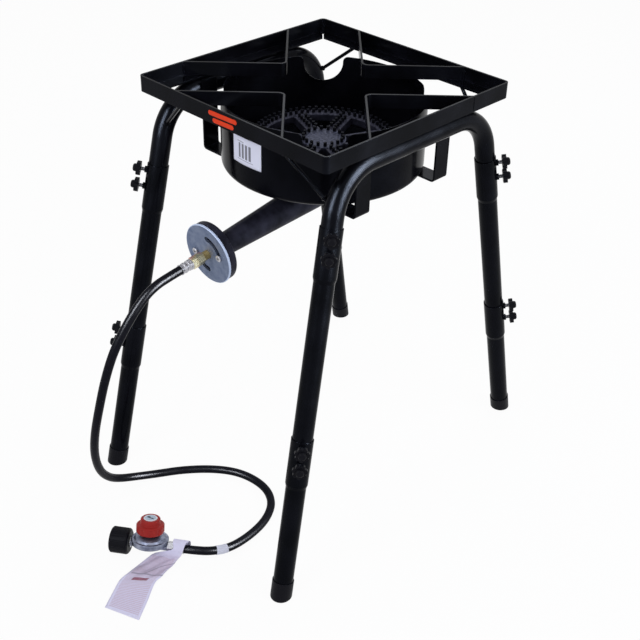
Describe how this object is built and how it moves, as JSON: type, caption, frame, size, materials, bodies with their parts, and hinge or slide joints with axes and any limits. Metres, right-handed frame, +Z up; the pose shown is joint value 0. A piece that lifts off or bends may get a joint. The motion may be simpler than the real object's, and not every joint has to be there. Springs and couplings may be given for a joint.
{
  "type": "high pressure gas burner stand",
  "caption": "Square angle iron stand on telescoping legs, with bent pan supports over a cast ring burner in a wind guard, fed by a hose with an adjustable regulator.",
  "frame": {"origin": "on the floor, under the centre of the square frame and of the burner ring", "axes": "+Z up, -Y towards the burner's mixing tube and hose, +X to the right seen from that side"},
  "size_m": [0.535, 0.8906, 0.7],
  "materials": {
    "black_enamel": "gloss black enamel",
    "cast_iron": "matt black casting",
    "zinc": "bare zinc casting",
    "plated_steel": "zinc plated steel",
    "brass": "turned brass",
    "yellow_zinc": "yellow passivated steel",
    "hose_rubber": "smooth black rubber",
    "black_plastic": "moulded black plastic",
    "red_plastic": "moulded red plastic",
    "white_plastic": "white insert",
    "paper": "thin white paper"
  },
  "bodies": {
    "stand": {"top_frame": "black_enamel", "pan_support_front": "black_enamel", "pan_support_right": "black_enamel", "pan_support_rear": "black_enamel", "pan_support_left": "black_enamel", "leg_tube_right": "black_enamel", "leg_tube_left": "black_enamel", "leg_braces": "black_enamel", "wind_guard": "black_enamel", "guard_strap_front": "black_enamel", "guard_strap_rear": "black_enamel", "burner_casting": "cast_iron", "burner_bolts": "plated_steel", "shutter_screws": "plated_steel", "orifice_fitting": "brass", "hose_end_burner": "plated_steel", "gas_hose": "hose_rubber", "hose_end_regulator": "plated_steel", "outlet_fitting": "plated_steel", "regulator_body": "zinc", "diaphragm": "hose_rubber", "regulator_bonnet": "zinc", "pressure_spring": "plated_steel", "inlet_nipple": "plated_steel", "paper_tag": "paper"},
    "middle_leg_front_right": {"middle_leg_front_right": "black_enamel"},
    "lower_leg_front_right": {"lower_leg_front_right": "black_enamel", "foot_cap_front_right": "black_plastic"},
    "star_knob_front_right_middle_high": {"star_knob_front_right_middle_high": "black_plastic"},
    "star_knob_front_right_middle_low": {"star_knob_front_right_middle_low": "black_plastic"},
    "star_knob_front_right_lower_high": {"star_knob_front_right_lower_high": "black_plastic"},
    "star_knob_front_right_lower_low": {"star_knob_front_right_lower_low": "black_plastic"},
    "middle_leg_rear_right": {"middle_leg_rear_right": "black_enamel"},
    "lower_leg_rear_right": {"lower_leg_rear_right": "black_enamel", "foot_cap_rear_right": "black_plastic"},
    "star_knob_rear_right_middle_high": {"star_knob_rear_right_middle_high": "black_plastic"},
    "star_knob_rear_right_middle_low": {"star_knob_rear_right_middle_low": "black_plastic"},
    "star_knob_rear_right_lower_high": {"star_knob_rear_right_lower_high": "black_plastic"},
    "star_knob_rear_right_lower_low": {"star_knob_rear_right_lower_low": "black_plastic"},
    "middle_leg_front_left": {"middle_leg_front_left": "black_enamel"},
    "lower_leg_front_left": {"lower_leg_front_left": "black_enamel", "foot_cap_front_left": "black_plastic"},
    "star_knob_front_left_middle_high": {"star_knob_front_left_middle_high": "black_plastic"},
    "star_knob_front_left_middle_low": {"star_knob_front_left_middle_low": "black_plastic"},
    "star_knob_front_left_lower_high": {"star_knob_front_left_lower_high": "black_plastic"},
    "star_knob_front_left_lower_low": {"star_knob_front_left_lower_low": "black_plastic"},
    "middle_leg_rear_left": {"middle_leg_rear_left": "black_enamel"},
    "lower_leg_rear_left": {"lower_leg_rear_left": "black_enamel", "foot_cap_rear_left": "black_plastic"},
    "star_knob_rear_left_middle_high": {"star_knob_rear_left_middle_high": "black_plastic"},
    "star_knob_rear_left_middle_low": {"star_knob_rear_left_middle_low": "black_plastic"},
    "star_knob_rear_left_lower_high": {"star_knob_rear_left_lower_high": "black_plastic"},
    "star_knob_rear_left_lower_low": {"star_knob_rear_left_lower_low": "black_plastic"},
    "air_shutter": {"air_shutter": "zinc"},
    "flare_nut": {"flare_nut": "yellow_zinc"},
    "regulator_knob": {"regulator_knob": "red_plastic", "knob_insert": "white_plastic"},
    "adjuster": {"adjusting_screw": "plated_steel", "spring_button": "plated_steel"},
    "coupling_nut": {"coupling_nut": "black_plastic"}
  },
  "joints": [
    {"name": "middle_leg_slide_front_right", "type": "slide", "parent": "stand", "child": "middle_leg_front_right", "axis": [0.0923, -0.2467, -0.9647], "range_m": [0, 0.05]},
    {"name": "lower_leg_slide_front_right", "type": "slide", "parent": "middle_leg_front_right", "child": "lower_leg_front_right", "axis": [0.0923, -0.2467, -0.9647], "range_m": [-0.039, 0.01]},
    {"name": "star_knob_front_right_middle_high_turn", "type": "hinge", "parent": "middle_leg_front_right", "child": "star_knob_front_right_middle_high", "pos_m": [0.19551, -0.1827, 0.57178], "axis": [0.7056, -0.6674, 0.2382], "range_deg": [0, 720]},
    {"name": "star_knob_front_right_middle_low_turn", "type": "hinge", "parent": "middle_leg_front_right", "child": "star_knob_front_right_middle_low", "pos_m": [0.19809, -0.18961, 0.54477], "axis": [0.7056, -0.6674, 0.2382], "range_deg": [0, 720]},
    {"name": "star_knob_front_right_lower_high_turn", "type": "hinge", "parent": "lower_leg_front_right", "child": "star_knob_front_right_lower_high", "pos_m": [0.22593, -0.26403, 0.25372], "axis": [0.7056, -0.6674, 0.2382], "range_deg": [0, 720]},
    {"name": "star_knob_front_right_lower_low_turn", "type": "hinge", "parent": "lower_leg_front_right", "child": "star_knob_front_right_lower_low", "pos_m": [0.22851, -0.27093, 0.2267], "axis": [0.7056, -0.6674, 0.2382], "range_deg": [0, 720]},
    {"name": "middle_leg_slide_rear_right", "type": "slide", "parent": "stand", "child": "middle_leg_rear_right", "axis": [0.0077, 0.2327, -0.9725], "range_m": [-0.01, 0.04]},
    {"name": "lower_leg_slide_rear_right", "type": "slide", "parent": "middle_leg_rear_right", "child": "lower_leg_rear_right", "axis": [0.0077, 0.2327, -0.9725], "range_m": [-0.024, 0.025]},
    {"name": "star_knob_rear_right_middle_high_turn", "type": "hinge", "parent": "middle_leg_rear_right", "child": "star_knob_rear_right_middle_high", "pos_m": [0.18797, 0.18377, 0.56135], "axis": [0.7162, 0.6774, 0.1678], "range_deg": [0, 720]},
    {"name": "star_knob_rear_right_middle_low_turn", "type": "hinge", "parent": "middle_leg_rear_right", "child": "star_knob_rear_right_middle_low", "pos_m": [0.18818, 0.19029, 0.53412], "axis": [0.7162, 0.6774, 0.1678], "range_deg": [0, 720]},
    {"name": "star_knob_rear_right_lower_high_turn", "type": "hinge", "parent": "lower_leg_rear_right", "child": "star_knob_rear_right_lower_high", "pos_m": [0.19038, 0.25689, 0.25577], "axis": [0.7162, 0.6774, 0.1678], "range_deg": [0, 720]},
    {"name": "star_knob_rear_right_lower_low_turn", "type": "hinge", "parent": "lower_leg_rear_right", "child": "star_knob_rear_right_lower_low", "pos_m": [0.1906, 0.26341, 0.22854], "axis": [0.7162, 0.6774, 0.1678], "range_deg": [0, 720]},
    {"name": "middle_leg_slide_front_left", "type": "slide", "parent": "stand", "child": "middle_leg_front_left", "axis": [-0.0077, -0.2327, -0.9725], "range_m": [-0.035, 0.015]},
    {"name": "lower_leg_slide_front_left", "type": "slide", "parent": "middle_leg_front_left", "child": "lower_leg_front_left", "axis": [-0.0077, -0.2327, -0.9725], "range_m": [0, 0.05]},
    {"name": "star_knob_front_left_middle_high_turn", "type": "hinge", "parent": "middle_leg_front_left", "child": "star_knob_front_left_middle_high", "pos_m": [-0.18816, -0.18959, 0.53704], "axis": [-0.7162, -0.6774, 0.1678], "range_deg": [0, 720]},
    {"name": "star_knob_front_left_middle_low_turn", "type": "hinge", "parent": "middle_leg_front_left", "child": "star_knob_front_left_middle_low", "pos_m": [-0.18837, -0.19611, 0.5098], "axis": [-0.7162, -0.6774, 0.1678], "range_deg": [0, 720]},
    {"name": "star_knob_front_left_lower_high_turn", "type": "hinge", "parent": "lower_leg_front_left", "child": "star_knob_front_left_lower_high", "pos_m": [-0.19038, -0.25689, 0.25577], "axis": [-0.7162, -0.6774, 0.1678], "range_deg": [0, 720]},
    {"name": "star_knob_front_left_lower_low_turn", "type": "hinge", "parent": "lower_leg_front_left", "child": "star_knob_front_left_lower_low", "pos_m": [-0.1906, -0.26341, 0.22854], "axis": [-0.7162, -0.6774, 0.1678], "range_deg": [0, 720]},
    {"name": "middle_leg_slide_rear_left", "type": "slide", "parent": "stand", "child": "middle_leg_rear_left", "axis": [-0.0923, 0.2467, -0.9647], "range_m": [-0.006, 0.044]},
    {"name": "lower_leg_slide_rear_left", "type": "slide", "parent": "middle_leg_rear_left", "child": "lower_leg_rear_left", "axis": [-0.0923, 0.2467, -0.9647], "range_m": [-0.033, 0.016]},
    {"name": "star_knob_rear_left_middle_high_turn", "type": "hinge", "parent": "middle_leg_rear_left", "child": "star_knob_rear_left_middle_high", "pos_m": [-0.19606, 0.18418, 0.56599], "axis": [-0.7056, 0.6674, 0.2382], "range_deg": [0, 720]},
    {"name": "star_knob_rear_left_middle_low_turn", "type": "hinge", "parent": "middle_leg_rear_left", "child": "star_knob_rear_left_middle_low", "pos_m": [-0.19864, 0.19109, 0.53898], "axis": [-0.7056, 0.6674, 0.2382], "range_deg": [0, 720]},
    {"name": "star_knob_rear_left_lower_high_turn", "type": "hinge", "parent": "lower_leg_rear_left", "child": "star_knob_rear_left_lower_high", "pos_m": [-0.22593, 0.26403, 0.25372], "axis": [-0.7056, 0.6674, 0.2382], "range_deg": [0, 720]},
    {"name": "star_knob_rear_left_lower_low_turn", "type": "hinge", "parent": "lower_leg_rear_left", "child": "star_knob_rear_left_lower_low", "pos_m": [-0.22851, 0.27093, 0.2267], "axis": [-0.7056, 0.6674, 0.2382], "range_deg": [0, 720]},
    {"name": "air_shutter_turn", "type": "hinge", "parent": "stand", "child": "air_shutter", "pos_m": [0, -0.24432, 0.48423], "axis": [0, 0.9928, 0.1201], "range_deg": [0, 76.8]},
    {"name": "flare_nut_turn", "type": "hinge", "parent": "stand", "child": "flare_nut", "pos_m": [0, -0.26765, 0.48141], "axis": [0, 0.9928, 0.1201], "continuous": true},
    {"name": "regulator_knob_turn", "type": "hinge", "parent": "stand", "child": "regulator_knob", "pos_m": [0.0363, -0.4209, 0.022], "axis": [0.1581, -0.2258, -0.9613], "range_deg": [0, 720]},
    {"name": "adjuster_slide", "type": "slide", "parent": "stand", "child": "adjuster", "axis": [0.1581, -0.2258, -0.9613], "range_m": [0, 0.003], "deforming": ["pressure_spring"]},
    {"name": "coupling_nut_turn", "type": "hinge", "parent": "stand", "child": "coupling_nut", "pos_m": [-0.00367, -0.44889, 0.022], "axis": [0.8192, 0.5736, 0], "continuous": true}
  ],
  "couplings": [
    {"joint": "adjuster_slide", "follows": "regulator_knob_turn", "m_per_rad": 0.00023873}
  ]
}
